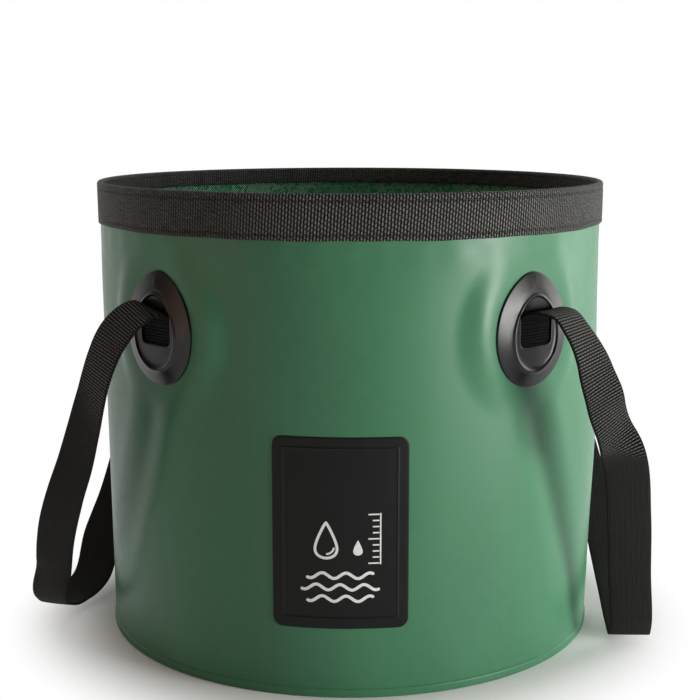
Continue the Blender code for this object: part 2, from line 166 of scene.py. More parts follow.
# The bag's shape, shared by all its pieces. Turns go round from the front towards +X.
bag = {
    "height": 0.2753,
    "wallTop": 0.2734,
    "topRadius": 0.1531,
    "footRadius": 0.1506,
    "meanRadius": 0.152,
    "sheet": 0.0008,
    "webbing": 0.0016,
    "gap": 0.0003,
    "hemHeight": 0.0048,
    "lapWidth": 0.018,
    "tapeOutside": 0.025,  # how far the binding comes down outside
    "anchorTurn": math.radians(42.8),
    "anchorHeight": 0.1985,
    "anchorSunk": 0.0006,
    "leftSlide": 0.0030,  # how far the left front anchor sits nearer the label
}
anchorTurns = {
    "front_right": bag["anchorTurn"],
    "front_left": -bag["anchorTurn"],
    "back_right": math.pi - bag["anchorTurn"],
    "back_left": math.pi + bag["anchorTurn"],
}
anchorSlides = {"front_left": bag["leftSlide"]}
tapeLow = bag["height"] - bag["tapeOutside"]
swayTop = tapeLow - 0.0008  # above this the binding holds the wall true


def wallRadius(z):
    return bag["footRadius"] + (bag["topRadius"] - bag["footRadius"]) * z / bag["wallTop"]


def allTurns(columns, edges=()):  # from the back round the front to the back again
    end, clear = math.pi - 0.0001, math.pi / columns / 2
    edges = [(e + math.pi) % (2 * math.pi) - math.pi for e in edges]
    even = [t for t in np.linspace(-end, end, columns) if all(abs(t - e) > clear for e in edges)]
    return np.array(sorted(even + edges))


def roundWall(turn, middle):  # metres round the wall from a middle
    return (np.mod(turn - middle + math.pi, 2 * math.pi) - math.pi) * bag["meanRadius"]


def spread(*parts):
    return np.stack(np.broadcast_arrays(*parts), -1)


def ring(turn, radius, z):
    return spread(radius * np.sin(turn), -radius * np.cos(turn), z)


def byAnchor(where, across, out, up):  # a point on or off the flat that an anchor gives the wall
    z = bag["anchorHeight"] + up
    away = wallRadius(z) - bag["anchorSunk"] + out
    turn = anchorTurns[where]
    aside = across + anchorSlides.get(where, 0)
    return ring(turn, away, z) + ring(turn + math.pi / 2, aside, 0 * z)


# How the soft wall leaves its true shape: broad swells, a bulge where the right handle pulls,
# a flat at each anchor, a crease that runs down and outward from under it, and small puckers
# where the binding is sewn on
softness = {
    "swell": 0.00042,
    # lobes round the wall, phase, lean and share of each swell
    "swells": ((5, 0.7, 3.0, 1.0), (8, 2.1, -5.0, 0.8), (13, 4.0, 8.0, 0.45), (21, 1.2, 6.0, 0.18)),
    "bulge": 0.0023,
    "bulgeTurn": 1.47,
    "bulgeWide": 0.33,
    "bulgeHeight": 0.125,
    "bulgeTall": 0.055,
    "creaseTop": 0.172,
    "creaseFrom": 0.168,
    "creaseRun": 0.14,
    "creaseDepth": 0.0020,
    "creaseWidth": 0.0075,
    "creaseDrift": math.radians(21),
    "flatWide": 0.031,
    "flatTall": 0.034,
    "pucker": 0.00022,
}


def sway(turn, z):
    look = softness
    turn, z = np.broadcast_arrays(turn, z)
    calm = ease((z - 0.006) / 0.03) * ease((swayTop - z) / 0.035)
    away = np.zeros(turn.shape)
    for lobes, phase, lean, share in look["swells"]:
        away = away + share * np.sin(lobes * turn + phase + lean * z)
    away = away * look["swell"] * calm * (0.70 + 0.30 * np.cos(turn))
    aside = (np.mod(turn, 2 * math.pi) - look["bulgeTurn"]) / look["bulgeWide"]
    above = (z - look["bulgeHeight"]) / look["bulgeTall"]
    away = away + look["bulge"] * np.exp(-aside ** 2 - above ** 2)
    for where, middle in anchorTurns.items():
        outward = 1 if where in ("front_right", "back_left") else -1
        drop = np.clip((look["creaseFrom"] - z) / look["creaseRun"], 0, 1)
        centre = middle + outward * (look["creaseDrift"] * drop ** 1.4 + math.radians(1.5))
        off = roundWall(turn, centre) / (look["creaseWidth"] * (1 + 1.1 * drop))
        depth = look["creaseDepth"] * ease((look["creaseTop"] - z) / 0.022) * (1 - drop) ** 0.8
        depth = depth * ease((z - 0.02) / 0.05)
        away = away - depth * np.exp(-off ** 2)
        away = away + 0.35 * depth * (np.exp(-(off - 2.1) ** 2) + np.exp(-(off + 2.1) ** 2))
        side = roundWall(turn, middle)
        reach = np.hypot((side - anchorSlides.get(where, 0)) / look["flatWide"],
                         (z - bag["anchorHeight"]) / look["flatTall"])
        held = 1 - ease((reach - 0.97) / 0.65)
        bend = np.cos(np.clip(side / bag["meanRadius"], -0.5, 0.5))
        flat = (wallRadius(z) - bag["anchorSunk"]) / bend - wallRadius(z)
        away = away * (1 - held) + flat * held
    puckers = np.sin(46 * turn + 1.7 * np.sin(5 * turn)) * np.exp(-((swayTop - z) / 0.011) ** 2)
    return away + look["pucker"] * puckers * (z < tapeLow) * ease((tapeLow - z) / 0.003)


def gridFaces(count, wide, closed=(False, True), first=0):
    faces = []
    for i in range(count if closed[0] else count - 1):
        a, b = first + i * wide, first + (i + 1) % count * wide
        for k in range(wide if closed[1] else wide - 1):
            m = (k + 1) % wide
            faces.append((a + k, a + m, b + m, b + k))
    return faces


# Makes a mesh from rows of points of equal length, with the lay of the cloth kept on its points.
# Each row's side, 0 or 1, picks the material of the faces that start at it.
def skin(name, rows, lays, materials, closed=(False, True), caps=(False, False), sides=None):
    rows, lays = np.array(rows, float), np.array(lays, float)
    count, wide = rows.shape[:2]
    sides = sides or [0] * count
    points, lay = rows.reshape(-1, 3), lays.reshape(-1, 3)
    faces = gridFaces(count, wide, closed)
    picks = [sides[i // (wide if closed[1] else wide - 1)] for i in range(len(faces))]
    for end, row in zip(caps, (0, count - 1)):
        if end:
            middle = len(points)
            points = np.vstack([points, rows[row].mean(0)])
            lay = np.vstack([lay, lays[row].mean(0)])
            for k in range(wide):
                a, b = row * wide + k, row * wide + (k + 1) % wide
                faces.append((middle, b, a) if row == 0 else (middle, a, b))
            picks += [sides[max(row - 1, 0)]] * wide
    return makePiece(name, points, faces, lay, materials, picks)


# Edges sharper than this are drawn sharp: on most pieces, and on thread and print
sharpAngle, softAngle = math.radians(40), math.radians(60)


def makePiece(name, points, faces, lay, materials, picks=None, smooth=sharpAngle):
    mesh = bpy.data.meshes.new(name)
    mesh.from_pydata([tuple(p) for p in points], [], faces)
    if picks:
        mesh.polygons.foreach_set("material_index", picks)
    kept = mesh.attributes.new("lay", "FLOAT_VECTOR", "POINT")
    kept.data.foreach_set("vector", np.array(lay, np.float32).ravel())
    for one in materials:
        mesh.materials.append(one)
    mesh.update()
    turnOutward(mesh)
    mesh.shade_smooth()
    mesh.set_sharp_from_angle(angle=smooth)
    return addObject(name, mesh)


def turnOutward(mesh):
    mesh.calc_loop_triangles()
    points = np.array([v.co for v in mesh.vertices])
    corners = points[np.array([t.vertices[:] for t in mesh.loop_triangles])]
    volume = np.einsum("ij,ij->i", corners[:, 0], np.cross(corners[:, 1], corners[:, 2])).sum()
    if volume < 0:
        mesh.flip_normals()


def addObject(name, data):
    made = bpy.data.objects.new(name, data)
    bpy.context.scene.collection.objects.link(made)
    return made


# Green coated cloth. The weave under the coating shows a little outside and clearly inside.
clothLook = {
    "deep": (0.039, 0.148, 0.075),
    "fresh": (0.055, 0.188, 0.099),
    "scuffed": (0.095, 0.250, 0.150),
    "line": (0.030, 0.110, 0.058),
    "insideDeep": (0.012, 0.150, 0.068),
    "insideFresh": (0.022, 0.230, 0.108),
    "sparkle": (0.90, 0.97, 0.92),
    "scrim": 0.00115,  # m from thread to thread
}


def threads(u, v, pitch):
    overU, overV = ((one * (math.pi / pitch)).lobes() for one in (u, v))
    return overU.sum("MAXIMUM", overV), overU.sum("MINIMUM", overV)


def clothOutside():
    look, hemTop, lapHalf = clothLook, bag["hemHeight"], bag["lapWidth"] / 2
    paint = Paint("greenCloth", Specular_IOR_Level=0.28)
    u, v = paint.lay()[:2]
    most, least = threads(u, v, look["scrim"])
    grid = 1 - most ** 5
    broad = paint.noise(7.0, 2.0, (1, 1, 0.35))
    fine = paint.noise(160.0, 4.0)
    pores = paint.noise(1500.0, 2.0)
    tone = paint.mix(paint.smooth(broad + fine * 0.18, 0.40, 0.75), look["deep"], look["fresh"])
    hem = paint.smooth(v, hemTop - 0.0007, hemTop + 0.0004, 1.0, 0.0)
    line = paint.near(v, hemTop, 0.0, 0.0007)
    scuff = paint.smooth(paint.noise(55.0, 6.0, (1, 1, 2.5), 0.7), 0.56, 0.78)
    tone = paint.mix(hem * 0.22 * scuff + scuff * 0.07, tone, look["scuffed"])
    tone = paint.mix(line * 0.35 + grid * 0.05, tone, look["line"])
    lap = paint.near(u.sum("ABSOLUTE"), math.pi * bag["meanRadius"], lapHalf - 0.001, lapHalf)
    knurl = ((u + v) * 2600.0).sum("SINE") * ((u - v) * 2600.0).sum("SINE")
    welded = lap.sum("MAXIMUM", hem)
    height = least * 0.16 + pores * 0.35 + knurl * welded * 0.5 - line
    rough = fine * 0.14 + 0.30 + scuff * 0.10 + hem * 0.06
    return paint.finish(tone, rough, height, 0.00006, 0.9)


def clothInside():
    look = clothLook
    paint = Paint("greenClothInside", Specular_IOR_Level=0.12)
    u, v = paint.lay()[:2]
    most, least = threads(u + v, u - v, look["scrim"] * 1.5)
    thread = paint.smooth(most, 0.60, 0.97)
    knot = paint.smooth(least, 0.70, 0.95)
    broad = paint.noise(34.0, 3.0, (1, 1, 0.6))
    speck = paint.noise(420.0, 2.0)
    sparkle = paint.smooth(least, 0.66, 0.88) * paint.smooth(speck, 0.40, 0.52)
    sparkle = sparkle * (0.56 + paint.smooth(broad, 0.42, 0.60) * 0.44)
    tone = paint.mix(thread, look["insideDeep"], look["insideFresh"])
    tone = paint.mix(sparkle, tone, look["sparkle"])
    rough = 0.45 - sparkle * 0.2 + broad * 0.1
    return paint.finish(tone, rough, thread * 0.7 + knot * 0.6, 0.00018, 0.9)


greenCloth = clothOutside()
greenClothInside = clothInside()


# Wall: one sheet rolled round, lapped down the back and welded at its foot
wallLook = {
    "columns": 288,
    "rows": 78,
    "hemExtra": 0.0005,
    "lapStep": 0.0004,
}


def wallTurns():
    half, step = bag["lapWidth"] / 2, wallLook["lapStep"]
    steps = [h / bag["topRadius"] for h in (half, half + step / 2, half + step)]
    return allTurns(wallLook["columns"], [math.pi + s * h for s in (-1, 1) for h in steps])


def overBack(turn, width, thickness):  # what an end that lies over the other adds at the back
    step = wallLook["lapStep"]
    away = np.abs(np.mod(turn, 2 * math.pi) - math.pi) * bag["topRadius"]
    return thickness * np.clip((width / 2 + step - away) / step, 0, 1)


def makeWall():
    turns = wallTurns()
    hem, foot = wallLook["hemExtra"], bag["hemHeight"]
    lapTop = tapeLow - bag["gap"]
    underTape = [bag["wallTop"], 0.2650, 0.2560]
    rows, sides = [], []
    # height, and how thick the welt and the lap are there
    outer = [(0.0, hem * 0.3, 0), (0.0003, hem * 0.8, 0.6), (0.0008, hem, 1), (0.0020, hem, 1),
             (0.0034, hem, 1), (foot - 0.0007, hem * 0.95, 1), (foot - 0.0003, hem * 0.5, 1),
             (foot, 0, 1)]
    outer += [(z, 0, 1) for z in np.linspace(foot + 0.0012, lapTop - 0.0005, wallLook["rows"])]
    outer += [(z, 0, 0) for z in [lapTop] + underTape[::-1]]
    for z, welt, lap in outer:
        extra = np.maximum(welt, overBack(turns, bag["lapWidth"], bag["sheet"] * lap))
        rows.append(ring(turns, wallRadius(z) + extra + sway(turns, z), z))
        sides.append(0)
    for z in underTape + list(np.linspace(swayTop, 0.0, wallLook["rows"] - 12)):
        rows.append(ring(turns, wallRadius(z) - bag["sheet"] + sway(turns, z), z))
        sides.append(1)
    lays = [spread(turns * bag["meanRadius"], row[:, 2], side) for row, side in zip(rows, sides)]
    return skin("wall", rows, lays, [greenCloth, greenClothInside], (True, True), sides=sides)


wall = makeWall()
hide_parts("wall_panel")
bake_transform(wall)
print("wall made:", len(wall.data.polygons), "faces")


# Base: a disc with its edge turned up and welded inside the wall
baseLook = {
    "columns": 192,
    "radius": 0.149,
    "corner": 0.003,
    "flange": 0.012,
    "lift": 0.0007,
    "wrinkles": 26,
}


def baseLift(radius, turn):
    share = radius / baseLook["radius"]
    calm = ease((0.93 - share) / 0.12)
    waves = np.sin(baseLook["wrinkles"] * turn + 2.2 * np.sin(3 * turn))
    waves = waves * ease((share - 0.45) / 0.4)
    slow = 0.5 + 0.5 * np.sin(2 * turn + 9 * share) * np.sin(5 * share + turn)
    return baseLook["lift"] * calm * (0.55 * slow + 0.45 * (0.5 + 0.5 * waves))


def makeBase():
    turns = allTurns(baseLook["columns"])
    sheet, corner, flange = bag["sheet"], baseLook["corner"], baseLook["flange"]
    edge = bag["footRadius"] - sheet - bag["gap"]
    rows, lays, sides = [], [], []

    def add(radius, z, side, flat):
        row = ring(turns, radius, z)
        u, v = (row[:, 0], row[:, 1]) if flat else (turns * baseLook["radius"], z + 0.2)
        rows.append(row)
        lays.append(spread(u, v, side))
        sides.append(side)

    discRadii = list(np.linspace(0.004, edge - corner - 0.001, 30))
    flangeHeights = (corner + 0.0001, 0.006, 0.009, flange - 0.0002)
    for radius in discRadii:
        add(radius, baseLift(radius, turns), 0, True)
    for step in range(7):
        bend = math.pi / 2 * step / 6
        add(edge - corner * (1 - math.sin(bend)), corner * (1 - math.cos(bend)), 0, True)
    for z in flangeHeights:
        add(edge, z, 0, False)
    add(edge - 0.0002, flange, 0, False)
    add(edge - sheet + 0.0002, flange, 1, False)
    for z in reversed(flangeHeights):
        add(edge - sheet, z, 1, False)
    inner = corner - sheet
    for step in range(6):
        bend = math.pi / 2 * (6 - step) / 6
        add(edge - corner + inner * math.sin(bend), corner - inner * math.cos(bend), 1, True)
    for radius in reversed(discRadii):
        add(radius, sheet + baseLift(radius, turns), 1, True)
    return skin("base", rows, lays, [greenCloth, greenClothInside], (False, True), (True, True),
                sides)


base = makeBase()
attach(base, "base")
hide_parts("base_panel")
print("base made")


# Woven webbing. The strap has rows of short floats across it, each row half a float on from
# the last, and faint ridges along it. The rim tape has ribs across it that waver a little.
webbingLook = {
    # painted shade: the pits between the yarns are painted far darker than the yarn
    "pitShade": (0.0016, 0.0016, 0.0015),
    "yarn": (0.0240, 0.0235, 0.0215),
    # painted sheen: the yarn crests are painted pale where the weave catches the light, in place of
    # a highlight
    "paintedSheen": (0.150, 0.146, 0.134),
    # painted shade: the colour for the webbing's darker edges and for its part in a window
    "shade": (0.0008, 0.0008, 0.0008),
    "float": 0.0024,
    "row": 0.00168,
    "ridge": 0.0031,
    "rib": 0.00174,
    "beat": 0.0026,
}


def strapPaint():
    look = webbingLook
    paint = Paint("strapWebbing", Specular_IOR_Level=0.15)
    u, v, state = paint.lay()
    # the lay's third value: above 0 the webbing lies in a window's painted shade, below 0 it is
    # plain
    side, plain = state.sum("MAXIMUM", 0.0), (state * -1.0).sum("MAXIMUM", 0.0)
    row = v / look["row"]
    odd = row.sum("FLOOR").sum("FLOORED_MODULO", 2.0)
    across = ((u / look["float"] + odd * 0.5) * math.pi).lobes() ** 0.5
    bead = (0.62 + across * 0.38) * (row * math.pi).lobes()
    ridge = (u * (math.pi / look["ridge"])).lobes() ** 0.5
    yarn = (u * 17000.0 + v * 2600.0).sum("SINE") * 0.5 + 0.5
    fuzz = paint.noise(1100.0, 3.0)
    patch = paint.noise(30.0, 3.0)
    litWeave = 1 - plain  # painted light: the upper legs show the weave with pale painted crests, the lower legs a plain darker tone
    cloth = paint.node("CombineXYZ", None, {0: u, 1: v})
    streak = paint.noise(1.0, 3.0, (1500, 45, 1), at=cloth)
    woven = paint.smooth(bead, 0.40, 0.90) * litWeave
    pale = woven + (0.14 + streak * 0.76 + bead * 0.08) * plain
    tone = paint.mix(pale, look["pitShade"], look["yarn"])
    edge = paint.smooth(u.sum("ABSOLUTE"), 0.0112, 0.0120)
    # painted sheen on the yarn crests, strongest on the upper legs
    paintedSheen = paint.smooth(bead, 0.70, 0.98) * (0.45 + fuzz * 0.8) * (0.50 + patch * 0.9)
    paintedSheen = paintedSheen * (0.03 + litWeave * 1.08)
    tone = paint.mix(paintedSheen * 0.85 * (1 - edge), tone, look["paintedSheen"])
    # painted shade: darker along the edges, and nearly black in a window
    shade = (edge * (0.7 - plain * 0.55)).sum("MAXIMUM", side * 0.97)
    tone = paint.mix(shade, tone, look["shade"])
    height = bead * (0.80 - plain * 0.70) + ridge * (0.35 - plain * 0.25)
    height = height + yarn * bead * 0.10 + fuzz * 0.06 + streak * plain * 0.5
    rough = 0.78 - bead * litWeave * 0.34 + fuzz * 0.08 + side * 0.2
    return paint.finish(tone, rough, height, 0.0010)


def tapePaint():
    look = webbingLook
    paint = Paint("rimTape", Specular_IOR_Level=0.2)
    u, v, side = paint.lay()
    cloth = paint.node("CombineXYZ", None, {0: u, 1: v})
    wander = paint.noise(1.0, 2.0, (260, 160, 1), at=cloth)
    streak = paint.noise(1.0, 3.0, (120, 1700, 1), at=cloth)
    fuzz = paint.noise(1300.0, 3.0)
    patch = paint.noise(38.0, 3.0)
    rank = (u - v * 0.07 + wander * 0.0005) / look["rib"]
    beat = ((v / look["beat"] + rank.sum("FLOOR") * 0.37) * math.pi).lobes() ** 0.5
    bead = (rank * math.pi).lobes() * (0.52 + beat * 0.48)
    even = paint.near(u, 0.035, 0.06, 0.115)
    plain = (1 - even).sum("MAXIMUM", side)  # painted light: the pale rib crests show only round the front, a little to the right, where the light falls; elsewhere and inside the ribs are drawn flatter
    seam = sum(paint.near(v, row, 0.0002, 0.0008) for row in (0.0046, 0.0224))
    high = paint.smooth(bead, 0.42, 0.88)
    # painted shade in the pits, painted sheen on the rib crests
    tone = paint.mix(high, look["pitShade"], look["yarn"])
    paintedSheen = paint.smooth(bead, 0.58, 0.90) * (0.30 + fuzz * 0.6 + streak * 0.7)
    paintedSheen = paintedSheen * (0.60 + patch * 0.8)
    lines = paint.smooth(streak, 0.35, 0.65) * (0.20 + fuzz * 0.35)
    paintedSheen = paintedSheen * (1 - plain * 0.72) + lines * plain * 0.8
    tone = paint.mix(paintedSheen * (1 - seam * 0.65), tone, look["paintedSheen"])
    height = high * (0.90 - plain * 0.55) + streak * (0.25 + plain * 0.6) + fuzz * 0.08 - seam * 0.4
    rough = 0.70 - high * 0.28 + fuzz * 0.08
    return paint.finish(tone, rough, height, 0.0012)


strapWeb = strapPaint()
rimTape = tapePaint()


# Rim binding: the tape folded over the wall's top edge, its ends overlapping at the back
rimLook = {
    "columns": 360,
    "radius": 0.155,
    "inside": 0.011,
    "thick": 0.0012,
    "overlap": 0.026,
    "upperSeam": 0.0042,  # below the top
    "lowerSeam": 0.0030,  # above the lower edge
    "groove": 0.00034,
    "stitches": 292,
}
foldMiddle = bag["topRadius"] - bag["sheet"] / 2
foldNear = bag["sheet"] / 2 + bag["gap"]
foldFar = foldNear + rimLook["thick"]
foldBase = bag["wallTop"] - foldNear + bag["gap"]
seamHeights = (bag["height"] - rimLook["upperSeam"], tapeLow + rimLook["lowerSeam"])


def leanAt(z):
    return wallRadius(z) - bag["topRadius"]


def overlapAt(turn):
    return overBack(turn, rimLook["overlap"], rimLook["thick"] * 0.9)


def tapeGroove(turn, z):
    pull = 0.75 - 0.25 * np.cos(turn * rimLook["stitches"])
    depth = sum(np.exp(-((z - seam) / 0.0008) ** 2) for seam in seamHeights)
    return rimLook["groove"] * pull * depth


def tapeEdge(turn):
    return 0.00018 * np.sin(11 * turn + 0.6) + 0.00012 * np.sin(27 * turn + 2.0)


def makeRim():
    steps = (0.0130, 0.0132, 0.0134)
    edges = [math.pi + s * h / bag["topRadius"] for s in (-1, 1) for h in steps]
    turns = allTurns(rimLook["columns"], edges)
    rows, lays = [], []

    def add(offset, z, along, over=0.0, edge=0.0, side=0.0, groove=0.0, soft=0.00010):
        extra = over * (overlapAt(turns) + soft * np.sin(17 * turns + 60 * z)) - groove
        radius = foldMiddle + leanAt(z) + offset + extra
        rows.append(ring(turns, radius, z + edge * tapeEdge(turns)))
        lays.append(spread(turns * rimLook["radius"], along, side))

    add(foldNear, tapeLow + 0.0002, 0.0, edge=1.0)
    add(foldFar - 0.0009, tapeLow, 0.0008, 0.6, 1.0)
    add(foldFar - 0.0003, tapeLow + 0.00012, 0.0012, 1.0, 1.0)
    for z in np.linspace(tapeLow + 0.0005, foldBase, 34):
        edge = 1.0 if z - tapeLow < 0.004 else 0.0
        add(foldFar, z, z - tapeLow + 0.0016, 1.0, edge, groove=tapeGroove(turns, z), soft=0.00012)
    start = foldBase - tapeLow + 0.0016
    for step in range(1, 12):
        bend = math.pi * step / 12
        add(foldFar * math.cos(bend), foldBase + foldFar * math.sin(bend), start + foldFar * bend,
            max(0.0, 1 - step / 3))
    low = bag["height"] - rimLook["inside"]
    turned = start + foldFar * math.pi + foldBase
    for z in np.linspace(foldBase, low + 0.0004, 14):
        add(-foldFar - leanAt(z), z, turned - z, side=1.0, groove=-tapeGroove(turns, z))
    for offset, up, along in ((0.0003 - foldFar, 0, 0.0004), (-foldNear - 0.0003, 0, 0.0012),
                              (-foldNear, 0.0006, 0.0020)):
        # the rows of the inner leg stand upright
        add(offset - leanAt(low), low + up, turned - low + along, side=1.0)
    for step in range(5):
        bend = math.pi * (4 - step) / 4
        add(foldNear * math.cos(bend), bag["wallTop"] + bag["gap"] * math.sin(bend) - 0.0001, 0.0)
    return skin("rimBinding", rows, lays, [rimTape], (True, True))


rim = makeRim()
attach(rim, "bag")
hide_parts("rim_binding")
print("rim binding made:", len(rim.data.polygons), "faces")


# Stitches of black thread along the binding, each one a short arch that dips into the tape
threadLook = {
    "length": 0.0027,
    "radius": 0.00023,
    "arch": 0.00026,
    "sunk": 0.00012,
    "sides": 6,
    "stations": 5,
    "deep": (0.008, 0.008, 0.008),
    "light": (0.022, 0.021, 0.021),
}


def threadPaint():
    paint = Paint("sewingThread", Specular_IOR_Level=0.5, Sheen_Weight=0.2)
    u, v = paint.lay()[:2]
    twist = ((u + v * 1.5) * 9000.0).sum("SINE") * 0.5 + 0.5
    tone = paint.mix(twist, threadLook["deep"], threadLook["light"])
    return paint.finish(tone, 0.62 - twist * 0.2, twist, 0.00008)


sewingThread = threadPaint()


def stitchRow(name, radius, z, outward, start=0.0):
    look, sides, stations = threadLook, threadLook["sides"], threadLook["stations"]
    half = look["length"] / 2 / radius
    points, faces, lay = [], [], []
    for i in range(rimLook["stitches"]):
        first = len(points)
        for share in np.linspace(-1, 1, stations):
            turn = start + 2 * math.pi * i / rimLook["stitches"] + share * half
            thick = look["radius"] * math.sqrt(max(0.06, 1 - abs(share) ** 3))
            base = radius + outward * (look["arch"] * (1 - share ** 2) - look["sunk"])
            base = base + (overlapAt(turn) if outward > 0 else 0.0)
            for m in range(sides):
                a = 2 * math.pi * m / sides
                points.append(ring(turn, base + thick * math.cos(a), z + thick * math.sin(a)))
                lay.append((turn * radius, thick * a, 0.0))
        last = len(points)
        faces += gridFaces(stations, sides, first=first)
        faces += [tuple(range(first, first + sides))[::-1], tuple(range(last - sides, last))]
    made = makePiece(name, points, faces, lay, [sewingThread], smooth=softAngle)
    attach(made, "bag")


upper, lower = seamHeights
tapeFace = foldFar - rimLook["groove"]
stitchRow("stitchesOutUpper", foldMiddle + leanAt(upper) + tapeFace, upper, 1)
stitchRow("stitchesOutLower", foldMiddle + leanAt(lower) + tapeFace, lower, 1)
stitchRow("stitchesInUpper", foldMiddle - tapeFace, upper, -1, 0.01)
stitchRow("stitchesInLower", wallRadius(lower) - bag["sheet"] - 0.00005, lower, -1, 0.01)
print("stitches made")


# Anchors: a thin backing sheet and a moulded oval cover with a raised ring and a window
anchorLook = {
    "width": 0.0552,
    "height": 0.064,
    "egg": 0.05,
    "steps": 112,
    "ringShare": 0.64,
    "ringWide": 0.98,
    "ringDrop": 0.0028,
    "ringPeak": 0.0014,  # how much further up the ring reaches under the point
    "point": 0.16,
    "crease": 0.00018,
    "creaseWide": 0.0013,
    "pointDip": 0.0007,  # how much lower the ring is under the point
    "foot": 0.0001,
    "backing": 0.0006,
    "backingShare": 0.88,
    "windowHalf": 0.0124,
    "windowShift": 0.0005,
    "windowHeight": 0.020,
    "windowRaise": 0.001,
    # height over the wall from the window, 0, over the ring, 0.5, to the outer edge, 1
    "profile": [
        (0.00, 0.00335), (0.03, 0.00352), (0.08, 0.00356), (0.25, 0.00360), (0.36, 0.00374),
        (0.42, 0.00400), (0.46, 0.00443), (0.485, 0.00478), (0.50, 0.00486), (0.515, 0.00478),
        (0.54, 0.00439), (0.57, 0.00396), (0.60, 0.00372), (0.64, 0.00344), (0.68, 0.00319),
        (0.76, 0.00270), (0.84, 0.00220), (0.89, 0.00188), (0.93, 0.00162), (0.965, 0.00139),
        (0.985, 0.00125), (0.996, 0.00104), (1.00, 0.00060),
    ],
    "mouldDeep": (0.0036, 0.0042, 0.0041),
    "mouldLight": (0.0074, 0.0082, 0.0080),
    "dust": (0.075, 0.076, 0.074),
    "sheetDeep": (0.006, 0.006, 0.006),
    "sheetLight": (0.013, 0.013, 0.013),
}
backingTop = bag["gap"] + anchorLook["backing"]


def mouldedPaint():
    paint = Paint("mouldedBlack", Specular_IOR_Level=0.32)
    grain = paint.noise(2600.0, 2.0)
    flow = paint.noise(120.0, 4.0, (1, 1, 0.5))
    dust = paint.smooth(paint.noise(420.0, 5.0, (1, 1, 1), 0.7), 0.60, 0.80)
    tone = paint.mix(flow, anchorLook["mouldDeep"], anchorLook["mouldLight"])
    tone = paint.mix(dust * 0.12, tone, anchorLook["dust"])
    rough = 0.23 + flow * 0.13 + dust * 0.14
    return paint.finish(tone, rough, grain * 0.3 + flow * 0.9, 0.00005, 0.7)


def fineWeave(u, v, pitch):
    return (u * pitch).sum("SINE") * (v * pitch).sum("SINE") * 0.5 + 0.5


def backingPaint():
    paint = Paint("backingSheet", Specular_IOR_Level=0.45)
    across, up = paint.lay()[:2]
    weave = fineWeave(across, up, 5200.0)
    tone = paint.mix(weave, anchorLook["sheetDeep"], anchorLook["sheetLight"])
    return paint.finish(tone, 0.62 - weave * 0.12, weave, 0.00006)


mouldedBlack = mouldedPaint()
backingSheet = backingPaint()


def oval(turn, share):
    look = anchorLook
    across = look["width"] / 2 * np.sin(turn) * (1 - look["egg"] * np.cos(turn))
    across = across * (1 - look["point"] * np.maximum(0, np.cos(turn)) ** 3 * share)
    return spread(across, look["height"] / 2 * np.cos(turn)) * share


def ringOval(turn):
    up = anchorLook["ringPeak"] * np.maximum(0, np.cos(turn)) ** 2 - anchorLook["ringDrop"]
    return oval(turn, anchorLook["ringShare"]) * (anchorLook["ringWide"], 1) + spread(0, up)


def windowEdge(turn):
    half = np.array((anchorLook["windowHalf"], anchorLook["windowHeight"] / 2))
    way = spread(np.sin(turn), np.cos(turn))
    reach = ((np.abs(way) / half) ** 8).sum(-1, keepdims=True) ** (-1 / 8)
    return reach * way + (anchorLook["windowShift"], anchorLook["windowRaise"])


def coverSpot(turn, share):
    crest = ringOval(turn)
    if share < 0.5:
        start, end, part = windowEdge(turn), crest, share * 2
    else:
        start, end, part = crest, oval(turn, 1.0), share * 2 - 1
    return (start + (end - start) * part).T


def coverProfile():
    look = anchorLook
    roof = backingTop + 2 * bag["gap"] + bag["webbing"]
    shares, heights = np.array(look["profile"]).T
    fine = np.unique(np.concatenate([np.linspace(0, 1, 45), shares]))
    upper = list(zip(fine, smoothLine(shares, heights, fine)))
    over = backingTop + 0.0003
    pocket = 0.5 + 0.5 * (look["backingShare"] + 0.04 - look["ringShare"]) / (1 - look["ringShare"])
    return upper + [(1.00, look["foot"]), (pocket + 0.03, look["foot"]), (pocket, over),
                    (0.72, over), (0.57, roof), (0.02, roof), (0.00, roof + 0.0001)]


def smoothLine(xs, ys, at):  # a cubic through the knots that never overshoots them
    slopes = np.diff(ys) / np.diff(xs)
    tangents = np.concatenate([slopes[:1], np.zeros(len(xs) - 2), slopes[-1:]])
    for i in range(1, len(xs) - 1):
        if slopes[i - 1] * slopes[i] > 0:
            tangents[i] = 2 / (1 / slopes[i - 1] + 1 / slopes[i])
    i = np.clip(np.searchsorted(xs, at) - 1, 0, len(xs) - 2)
    wide = xs[i + 1] - xs[i]
    t = (at - xs[i]) / wide
    return (ys[i] * (2 * t ** 3 - 3 * t ** 2 + 1) + tangents[i] * wide * (t ** 3 - 2 * t ** 2 + t)
            + ys[i + 1] * (3 * t ** 2 - 2 * t ** 3) + tangents[i + 1] * wide * (t ** 3 - t ** 2))


